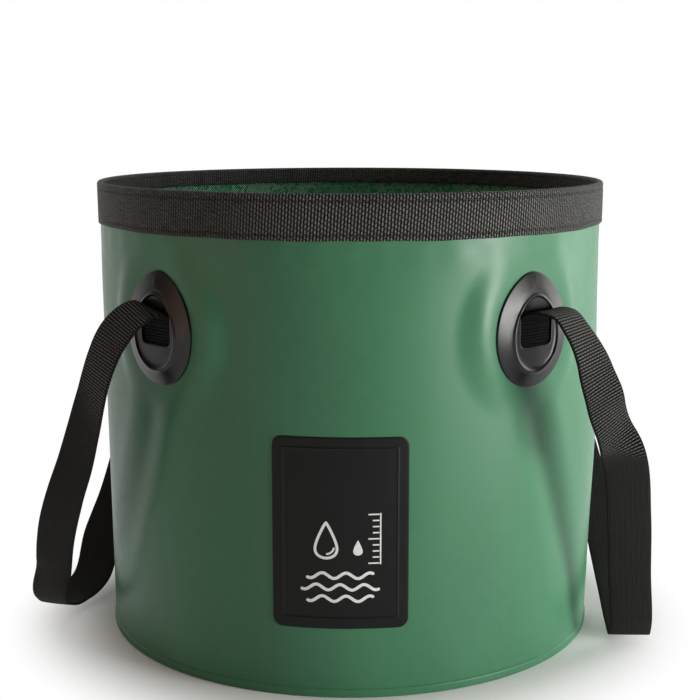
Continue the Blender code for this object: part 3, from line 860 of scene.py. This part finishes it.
def makeAnchor(where):
    turns = np.arange(anchorLook["steps"]) * 2 * math.pi / anchorLook["steps"]
    rows, lays = [], []
    for share, out in coverProfile():
        across, up = coverSpot(turns, share)
        if out > 0.0012:  # the face, not the underside
            above = ease((up - 0.0215) / 0.004) * ease((0.0305 - up) / 0.003)
            crease = above * np.exp(-(across / anchorLook["creaseWide"]) ** 2)
            dip = np.exp(-((share - 0.5) / 0.09) ** 2) * np.maximum(0, np.cos(turns)) ** 2
            out = out + anchorLook["crease"] * crease - anchorLook["pointDip"] * dip
        rows.append(byAnchor(where, across, out, up))
        lays.append(spread(across, up, out))
    cover = skin("anchorCover_" + where, rows, lays, [mouldedBlack], (True, True))
    rows, lays = [], []
    shares = (0.05, 0.4, 0.7, 0.99)
    under = [(share, anchorLook["foot"]) for share in shares]
    over = [(share, backingTop) for share in reversed(shares)]
    for share, out in under + [(1.0, 0.0003), (1.0, backingTop - 0.0002)] + over:
        across, up = oval(turns, share * anchorLook["backingShare"]).T
        rows.append(byAnchor(where, across, out, up))
        lays.append(spread(across, up, out))
    sheet = skin("anchorBacking_" + where, rows, lays, [backingSheet], (False, True), (True, True))
    for piece, node, slot in ((cover, "anchor_cover_", "anchor_moulding"),
                              (sheet, "anchor_backing_", "anchor_sheet")):
        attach(piece, "bag")
        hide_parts(node + where)


for where in anchorTurns:
    makeAnchor(where)
print("anchors made")


# Handles: webbing from window to window. Each line is the middle of the webbing, from the
# window of the front anchor down the front leg, round the bottom and up the back leg.
strapLook = {
    "width": 0.025,
    "spacing": 0.0018,
    "lip": (0.0030, 0.0142, 0.0112),  # across, out and up from an anchor's middle
    "cup": 0.0004,
    "shadeEnd": 0.011,  # m of webbing in the window's shade
    "shadeFade": 0.009,
    "slant": 0.55,  # of the line where the weave smooths out
    "backFacing": [(0.0, 60), (0.020, 55), (0.045, 38), (0.090, 0)],
    "backTilt": [(0.0, 10), (0.040, 0)],
    # the last points of both lines, mirrored for the left one
    "backEnd": [(.1379, .1320, .1739), (.1355, .1320, .1842), (.1311, .1310, .1938),
                (.1259, .1280, .2020), (.1195, .1240, .2089)],
    "tailLow": -0.0160,  # the trapped end's reach, from an anchor's middle
    "tailHigh": 0.0045,
    "tailOut": 0.00175,
    "tailRise": 0.0002,
}
rightHandle = {
    "side": 1,
    "smoothFrom": 0.108,  # m of webbing after which the weave smooths out and its painted sheen fades to a darker plain tone, and over how much
    "smoothing": 0.009,
    "line": [
        (.1207, -.1245, .2080), (.1256, -.1278, .2018), (.1302, -.1305, .1942),
        (.1340, -.1320, .1858), (.1371, -.1320, .1764), (.1413, -.1305, .1652),
        (.1448, -.1275, .1540), (.1491, -.1235, .1428), (.1540, -.1190, .1317),
        (.1619, -.1020, .0884), (.1662, -.0850, .0494), (.1699, -.0730, .0142),
        (.1705, -.0650, .0058), (.1707, -.0480, .0072), (.1708, -.0200, .0150),
        (.1697, .0200, .0313), (.1674, .0500, .0502), (.1604, .0800, .0740),
        (.1522, .1050, .1056), (.1440, .1250, .1425),
    ],
    # degrees at a way along from the lip
    "frontFacing": [(0.0, 58), (0.020, 52), (0.032, 44), (0.044, 36), (0.060, 29), (0.070, 36),
                    (0.081, 38), (0.087, 28), (0.094, 14), (0.105, 0)],
    "frontTilt": [(0.0, -3), (0.014, -3), (0.030, -1), (0.050, 0)],
}
leftHandle = {
    "side": -1,
    "smoothFrom": 0.062,
    "smoothing": 0.034,
    "line": [
        (-.1095, -.1215, .2096), (-.1145, -.1245, .2070), (-.1205, -.1270, .2013),
        (-.1258, -.1287, .1936), (-.1306, -.1295, .1830), (-.1343, -.1288, .1725),
        (-.1377, -.1265, .1609), (-.1436, -.1200, .1424), (-.1507, -.1115, .1219),
        (-.1600, -.1010, .0990), (-.1694, -.0860, .0740), (-.1778, -.0650, .0428),
        (-.1863, -.0350, .0115), (-.1843, -.0246, .0060), (-.1796, -.0108, .0062),
        (-.1722, .0050, .0115), (-.1698, .0400, .0340), (-.1643, .0650, .0542),
        (-.1600, .0900, .0780), (-.1522, .1090, .1135), (-.1440, .1250, .1480),
    ],
    "frontLip": (0.0000, 0.0094, 0.0116),
    "frontFacing": [(0.0, 72), (0.0033, 80), (0.0098, 76), (0.0181, 61), (0.0272, 50), (0.0386, 45),
                    (0.0621, 43), (0.0826, 39), (0.106, 34), (0.135, 30), (0.165, 26), (0.190, 26),
                    (0.215, 34), (0.240, 30), (0.270, 0)],
    "frontTilt": [(0.0, -14), (0.0033, -24), (0.0098, -36), (0.0181, -40), (0.0272, -34),
                  (0.0386, -22), (0.0498, -12), (0.0621, -4), (0.0826, 0)],
}


def throughWindow(where, lip):  # from inside the window out to the lip
    across, out, up = lip
    return [byAnchor(where, *spot) for spot in (
        (0.0, 0.0019, 0.0020), (0.0, 0.0022, up - 0.0056), (across * 0.15, out * 0.30, up - 0.0027),
        (across * 0.45, out * 0.6, up - 0.0006), (across, out, up))]


def stepLengths(points):
    return np.linalg.norm(np.diff(np.array(points), axis=0), axis=1)


def smoothPath(points, spacing):
    points = np.array(points)
    gaps = np.maximum(stepLengths(points), 1e-6)
    ways = np.diff(points, axis=0) / gaps[:, None]
    slopes = [ways[0]]
    for i in range(1, len(points) - 1):
        a, b = gaps[i - 1], gaps[i]
        slopes.append((ways[i - 1] * b + ways[i] * a) / (a + b))
    slopes.append(ways[-1])
    line = []
    for i, gap in enumerate(gaps):
        p, q = points[i], points[i + 1]
        b, c = p + slopes[i] * gap / 3, q - slopes[i + 1] * gap / 3
        pieces = max(2, int(round(gap / spacing)))
        for t in np.arange(pieces) / pieces:
            s = 1 - t
            line.append(p * s ** 3 + 3 * b * t * s * s + 3 * c * t * t * s + q * t ** 3)
    return np.array(line + [points[-1]])


def unit(vector):
    return vector / np.linalg.norm(vector)


# The webbing's section, as shares of half its width and thickness: round at its edges
strapFace = [(wide, 1 - 0.10 * wide ** 2) for wide in np.linspace(-0.965, 0.965, 9)]
strapFace += [(0.990, 0.66), (1.0, 0.0), (0.990, -0.66)]
strapWides, strapThicks = np.array(strapFace + [(-wide, -thick) for wide, thick in strapFace]).T
strapAside = strapWides * strapLook["width"] / 2


def strapSection(centre, run, across, thick=bag["webbing"], cup=0.0):
    out = strapThicks * thick / 2 + cup * (strapWides ** 2 - 0.33)
    return centre + np.outer(strapAside, across) + np.outer(out, np.cross(run, across))


def makeHandle(name, handle, nodes):
    look, side = strapLook, handle["side"]
    hand = "right" if side > 0 else "left"
    across, out, up = look["lip"]
    front = throughWindow("front_" + hand, handle.get("frontLip", (side * across, out, up)))
    back = throughWindow("back_" + hand, (-side * across, out, up))
    middle = handle["line"] + [(side * x, y, z) for x, y, z in look["backEnd"]]
    line = smoothPath(front + middle + back[::-1], look["spacing"])
    length = np.concatenate([[0], np.cumsum(stepLengths(line))])
    lip, backLip = stepLengths(front).sum(), stepLengths(back).sum()
    turn = math.degrees(bag["anchorTurn"])
    total = length[-1]

    def along(table, past, start):
        return np.interp(past, *zip(*([(-lip, start), (-lip * 0.4, start)] + table)))

    past, left = length - lip, total - length - backLip
    angle = along(handle["frontFacing"], past, turn) - along(look["backFacing"], left, turn)
    tilt = along(handle["frontTilt"], past, 0) + along(look["backTilt"], left, 0)
    kernel = np.ones(7) / 7  # softens the corners of the tables
    angle, tilt = (np.radians(np.convolve(np.pad(one, 3, "edge"), kernel, "valid"))
                   for one in (angle, tilt))
    rows, lays = [], []
    for i, centre in enumerate(line):
        run = unit(line[min(i + 1, len(line) - 1)] - line[max(i - 1, 0)])
        across = np.array((np.cos(angle[i]), side * np.sin(angle[i]), -side * np.tan(tilt[i])))
        across = unit(across - run * across.dot(run))
        ends = min(length[i], total - length[i])
        cup = look["cup"] * math.sin(length[i] * 21 + side) * ease((ends - 0.03) / 0.04)
        shade = 1 - ease((ends - look["shadeEnd"]) / look["shadeFade"])
        # how far past the line where the weave, with its painted sheen, gives way to darker plain
        # webbing
        paintedSheen = ends - look["slant"] * strapAside - handle["smoothFrom"]
        rows.append(strapSection(centre, run, across, cup=cup))
        lays.append(spread(strapAside, length[i], shade - ease(paintedSheen / handle["smoothing"])))
    strap = skin(name, rows, lays, [strapWeb], (False, True), (True, True))
    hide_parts(*nodes)
    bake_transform(strap)
    print(name, "is", round(total, 3), "m of webbing")
    return strap


def makeTail(where):  # the webbing's end, trapped under the lower half of the cover, painted in shade all along
    look, turn, rows, lays = strapLook, anchorTurns[where], [], []
    run, across = np.array((0.0, 0.0, 1.0)), np.array((math.cos(turn), math.sin(turn), 0.0))
    for up in np.linspace(look["tailLow"], look["tailHigh"], 14):
        out = look["tailOut"] + look["tailRise"] * ease((up + 0.002) / 0.006)
        centre = byAnchor(where, 0.0, out, up)
        rows.append(strapSection(centre, run, across, bag["webbing"] - 0.00005))
        # painted shade over the whole trapped end
        lays.append(spread(strapAside, up - look["tailLow"], 1.0))
    tail = skin("strapEnd_" + where, rows, lays, [strapWeb], (False, True), (True, True))
    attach(tail, "bag")
    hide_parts("strap_end_" + where)


makeHandle("handleRight", rightHandle, ["handle_right"])
makeHandle("handleLeft", leftHandle, ["handle_left"])
for where in anchorTurns:
    makeTail(where)


# Label: a black film panel welded on, with a raised line inside its edge and a white print
labelLook = {
    "width": 0.074,
    "height": 0.1066,
    "bottom": 0.040,
    "corner": 0.0055,
    # height over the wall at a way in from the edge
    "profile": [
        (0.0, 0.00045), (0.0003, 0.00062), (0.0008, 0.00070), (0.0018, 0.00072), (0.0036, 0.00070),
        (0.0050, 0.00070), (0.0055, 0.00074), (0.0058, 0.00092), (0.0061, 0.00104),
        (0.0064, 0.00092), (0.0067, 0.00074), (0.0072, 0.00070), (0.0085, 0.00072),
        (0.0105, 0.00076), (0.0135, 0.00080), (0.0170, 0.00084), (0.0210, 0.00087),
        (0.0250, 0.00089), (0.0290, 0.00090), (0.0330, 0.00091), (0.0360, 0.00091),
    ],
    "deep": (0.0055, 0.0062, 0.0060),
    "light": (0.0110, 0.0120, 0.0116),
}
labelInsets, labelHeights = np.array(labelLook["profile"]).T
labelSize = np.array((labelLook["width"], labelLook["height"]))


def labelRing(inset):
    corner = max(labelLook["corner"] - inset, 0.0007)
    half = labelSize / 2 - inset - corner
    corners = half * ((1, 1), (-1, 1), (-1, -1), (1, -1))
    outline = []
    for quarter, here in enumerate(corners):
        way = corners[(quarter + 1) % 4] - here
        for bend in math.pi / 2 * (quarter + np.arange(7) / 6):
            last = here + (corner * math.cos(bend), corner * math.sin(bend))
            outline.append(last)
        cuts = 14 if quarter % 2 == 0 else 20
        outline += [last + way * step / cuts for step in range(1, cuts)]
    return np.array(outline)


def onLabel(across, up, out):
    z = labelLook["bottom"] + labelLook["height"] / 2 + up
    turn = across / wallRadius(z)
    return ring(turn, wallRadius(z) + sway(turn, z) + out, z)


def labelInset(spot):
    far = np.abs(spot) - labelSize / 2 + labelLook["corner"]
    return labelLook["corner"] - np.hypot(*np.maximum(far, 0)) - min(far.max(), 0)


def labelPaint():
    paint = Paint("labelFilm", Specular_IOR_Level=0.14)
    across, up, inset = paint.lay()
    grain = paint.noise(1900.0, 3.0)
    cloud = paint.noise(30.0, 4.0)
    inside = paint.smooth(inset, 0.0050, 0.0062)
    tone = paint.mix(cloud, labelLook["deep"], labelLook["light"])
    rough = 0.36 + cloud * 0.14 + grain * 0.06
    weave = fineWeave(across, up, 3600.0)
    return paint.finish(tone, rough, grain * 0.6 + weave * 0.25 * inside, 0.00005, 0.9)


def inkPaint():
    paint = Paint("whiteInk", Specular_IOR_Level=0.4)
    grain = paint.noise(1500.0, 3.0)
    thin = paint.smooth(paint.noise(700.0, 5.0, (1, 1, 1), 0.7), 0.66, 0.78)
    tone = paint.mix(thin * 0.35, printLook["ink"], printLook["thin"])
    return paint.finish(tone, 0.5 + grain * 0.15, grain, 0.00003)


# White print, drawn in millimetres from the label's middle: water lines, drops and a level scale
printLook = {
    "rise": 0.00010,  # m over the film
    "ink": (0.80, 0.81, 0.80),
    "thin": (0.30, 0.31, 0.30),
    # height, half length and shift of each water line
    "waves": ((-36.0, 17.5, 0.0), (-29.5, 20.5, 3.2), (-23.0, 17.5, 0.0)),
    "waveHigh": 1.55,
    "waveHalf": 6.4,
    "waveStroke": 1.7,
    "drop": (-7.5, -6.0, 7.2, 1.75),  # middle, radius, and how far its tip is drawn out
    "dropStroke": 1.5,
    "shine": (-7.5, -6.6, 4.3),
    "shineStroke": 1.1,
    "smallDrop": (9.5, -8.5, 3.1, 1.75),
    "scaleStroke": 0.8,
    "scaleFoot": -16.0,
    "scaleStep": 3.4,
    "scaleEdge": 20.6,
}

labelFilm = labelPaint()
whiteInk = inkPaint()


def makeLabel():
    rows, lays = [], []
    profile = [(0.0, 0.0001), (0.0, 0.0003)] + labelLook["profile"]
    for inset, out in profile:
        across, up = labelRing(inset).T
        rows.append(onLabel(across, up, out))
        lays.append(spread(across, up, inset))
    return skin("label", rows, lays, [labelFilm], (False, True), (False, True))


def inkMesh(name, strips):
    points, faces = [], []
    for strip in strips:
        strip = np.array(strip) / 1000
        faces += gridFaces(*strip.shape[:2], (False, False), len(points))
        for spot in strip.reshape(-1, 2):
            out = np.interp(labelInset(spot), labelInsets, labelHeights) + printLook["rise"]
            points.append(onLabel(*spot, out))
    lay = np.zeros((len(points), 3))
    made = makePiece(name, points, faces, lay, [whiteInk], smooth=softAngle)
    if sum(p.normal.y for p in made.data.polygons) > 0:
        made.data.flip_normals()
    return made


def stroke(line, width, closed=False):
    line = np.array(line, float)
    count, rows = len(line), []
    for i in range(count + 1 if closed else count):
        here = line[i % count]
        before = line[(i - 1) % count] if closed or i > 0 else here
        after = line[(i + 1) % count] if closed or i < count - 1 else here
        run = (after - before) / max(np.linalg.norm(after - before), 1e-9)
        aside = np.array((-run[1], run[0])) * width / 2
        rows.append([here - aside, here, here + aside])
    if not closed:  # round ends
        for end, outward in ((0, -1), (-1, 1)):
            here, side = rows[end][1], rows[end][2] - rows[end][1]
            forth = np.array((side[1], -side[0])) * outward
            cap = []
            for a in math.pi / 8 * np.arange(1, 5):
                middle = here + forth * math.sin(a)
                cap.append([middle - side * math.cos(a), middle, middle + side * math.cos(a)])
            rows = cap[::-1] + rows if end == 0 else rows + cap
    return rows


def dropOutline(cx, cy, radius, tall, count=56):
    line = []
    for a in 2 * math.pi * np.arange(count) / count:
        lift = (1 + math.cos(a)) / 2
        line.append((cx + radius * math.sin(a) * (1 - lift) ** 0.35,
                     cy + radius * math.cos(a) * (1 + (tall - 1) * lift ** 1.8)))
    return line


def filled(outline, rings=5):
    outline = np.array(outline + outline[:1], float)
    middle = outline[:-1].mean(0)
    shares = [k / rings for k in range(rings, 0, -1)] + [0.001]
    return [middle + (outline - middle) * share for share in shares]


def makePrint():
    look, strips = printLook, []
    for base, half, shift in look["waves"]:
        line = [(x, base + look["waveHigh"] * math.sin((x + shift) / look["waveHalf"] * math.pi))
                for x in np.linspace(-half, half, 64)]
        strips.append(stroke(line, look["waveStroke"]))
    strips.append(stroke(dropOutline(*look["drop"]), look["dropStroke"], True))
    cx, cy, radius = look["shine"]
    shine = [(cx + radius * math.cos(a), cy + radius * math.sin(a))
             for a in np.linspace(-1.45, -0.25, 14)]
    strips.append(stroke(shine, look["shineStroke"]))
    strips.append(filled(dropOutline(*look["smallDrop"])))
    edge, foot = look["scaleEdge"], look["scaleFoot"]
    for k in range(9):  # level scale without figures
        long = 5.2 if k % 4 == 0 else 2.9
        y = foot + k * look["scaleStep"]
        mark = [(edge - long, y), (edge - long / 2, y), (edge, y)]
        strips.append(stroke(mark, look["scaleStroke"]))
    post = [(edge + 1.0, y) for y in np.linspace(foot - 0.4, 11.6, 24)]
    strips.append(stroke(post, look["scaleStroke"]))
    return inkMesh("labelPrint", strips)


label = makeLabel()
ink = makePrint()
for piece in (label, ink):
    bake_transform(piece)
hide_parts("label_patch")
print("label made")


# Studio: a pale floor, a white backdrop behind, a large soft lamp at the right, a weak warm
# one at the left and one overhead. The room in front is dim, so black stays black.
studio = {
    "camera": (0.03053, -0.87427, 0.3197),
    "heading": math.radians(2.0),
    "pitch": math.radians(9.908),
    "lens": 1403 / 700 * 36,
    "roomTone": (0.98, 1.0, 0.88),
    "roomStrength": 0.093,
    "backStrength": 0.56,
    "floorReach": 6.0,
    "floorShade": (0.148, 0.222),  # m from the bag's axis over which the shadow fades to white
}
lamps = [
    # name, place, aim, width, height, watts, tone
    ("keyRight", (1.115, -0.595, 0.20), (0.05, 0, 0.14), 0.46, 0.37, 14.2, (1.0, 0.995, 0.96)),
    ("rimRight", (1.08, 0.40, 0.40), (0.05, 0, 0.13), 0.50, 1.0, 5.3, (1.0, 1.0, 0.98)),
    ("fillLeft", (-1.10, -0.75, 0.45), (-0.05, 0, 0.15), 0.7, 0.9, 2.1, (1.0, 0.50, 0.36)),
    ("overhead", (0.10, -0.15, 1.40), (0, 0, 0.1), 1.0, 1.0, 3.5, (1.0, 1.0, 1.0)),
]


def makeLamp(name, location, aim, width, height, watts, tone):
    data = bpy.data.lights.new(name, "AREA")
    data.shape = "RECTANGLE"
    data.size, data.size_y = width, height
    data.energy = watts
    data.color = tone
    made = addObject(name, data)
    made.location = location
    made.rotation_mode = "QUATERNION"
    made.rotation_quaternion = (Vector(aim) - Vector(location)).to_track_quat("-Z", "Y")


for lamp in lamps:
    makeLamp(*lamp)


def whiteSeen(board, share):  # what the camera and the gloss of the object see as white
    rays = ("Is Camera Ray", "Is Glossy Ray", "Is Transmission Ray")
    camera, glossy, through = (board.node("LightPath", None, None, kind) for kind in rays)
    return (camera + glossy + through).sum("MINIMUM", 1.0) * share


def floorPaint():
    paint = Paint("paleFloor", Specular_IOR_Level=0.2, Roughness=0.85)
    tone = paint.mix(paint.noise(220.0, 3.0), (0.86, 0.86, 0.86), (0.90, 0.90, 0.90))
    paint.join(paint.shader.inputs["Base Color"], tone)
    x, y = paint.split(paint.node("TexCoord", None, None, "Object"))[:2]
    far = paint.smooth((x * x + y * y).sum("SQRT"), *studio["floorShade"])
    white = paint.node("Emission", None, {"Color": (1, 1, 1, 1), "Strength": 1.0})
    shaded = Wire(paint, paint.shader.outputs[0])
    blend = paint.node("MixShader", None, {0: whiteSeen(paint, far), 1: shaded, 2: white})
    paint.join(paint.tree.nodes["Material Output"].inputs["Surface"], blend)
    return paint.material


def makeFloor():
    mesh = bpy.data.meshes.new("studioFloor")
    corners = [(x * studio["floorReach"], y * studio["floorReach"], 0)
               for x, y in ((-1, -1), (1, -1), (1, 1), (-1, 1))]
    mesh.from_pydata(corners, [], [(0, 1, 2, 3)])
    mesh.materials.append(floorPaint())
    made = addObject("studioFloor", mesh)
    made.location = (0, 0, -0.0002)


def makeWorld():
    world = bpy.data.worlds.new("studioWorld")
    bpy.context.scene.world = world
    world.use_nodes = True
    world.node_tree.nodes.clear()
    board = Board(world.node_tree)
    back = board.split(board.node("TexCoord", None, None, "Generated"))[1]
    behind = board.smooth(back, 0.05, 0.70)
    strength = behind * (studio["backStrength"] - studio["roomStrength"]) + studio["roomStrength"]
    room = board.node("Background", None, {"Color": rgba(studio["roomTone"]), "Strength": strength})
    white = board.node("Background", None, {"Color": (1, 1, 1, 1), "Strength": 1.0})
    camera = board.node("LightPath", None, None, "Is Camera Ray")
    seen = whiteSeen(board, behind).sum("MAXIMUM", camera)
    blend = board.node("MixShader", None, {0: seen, 1: room, 2: white})
    board.node("OutputWorld", None, {"Surface": blend}, None)


def makeCamera():
    data = bpy.data.cameras.new("studioCamera")
    data.sensor_width = 36
    data.lens = studio["lens"]
    data.clip_start, data.clip_end = 0.02, 30
    made = addObject("studioCamera", data)
    made.location = studio["camera"]
    made.rotation_euler = (math.pi / 2 - studio["pitch"], 0, studio["heading"])
    bpy.context.scene.camera = made


makeFloor()
makeWorld()
makeCamera()
bpy.context.scene.view_settings.view_transform = "Standard"
print("studio made")
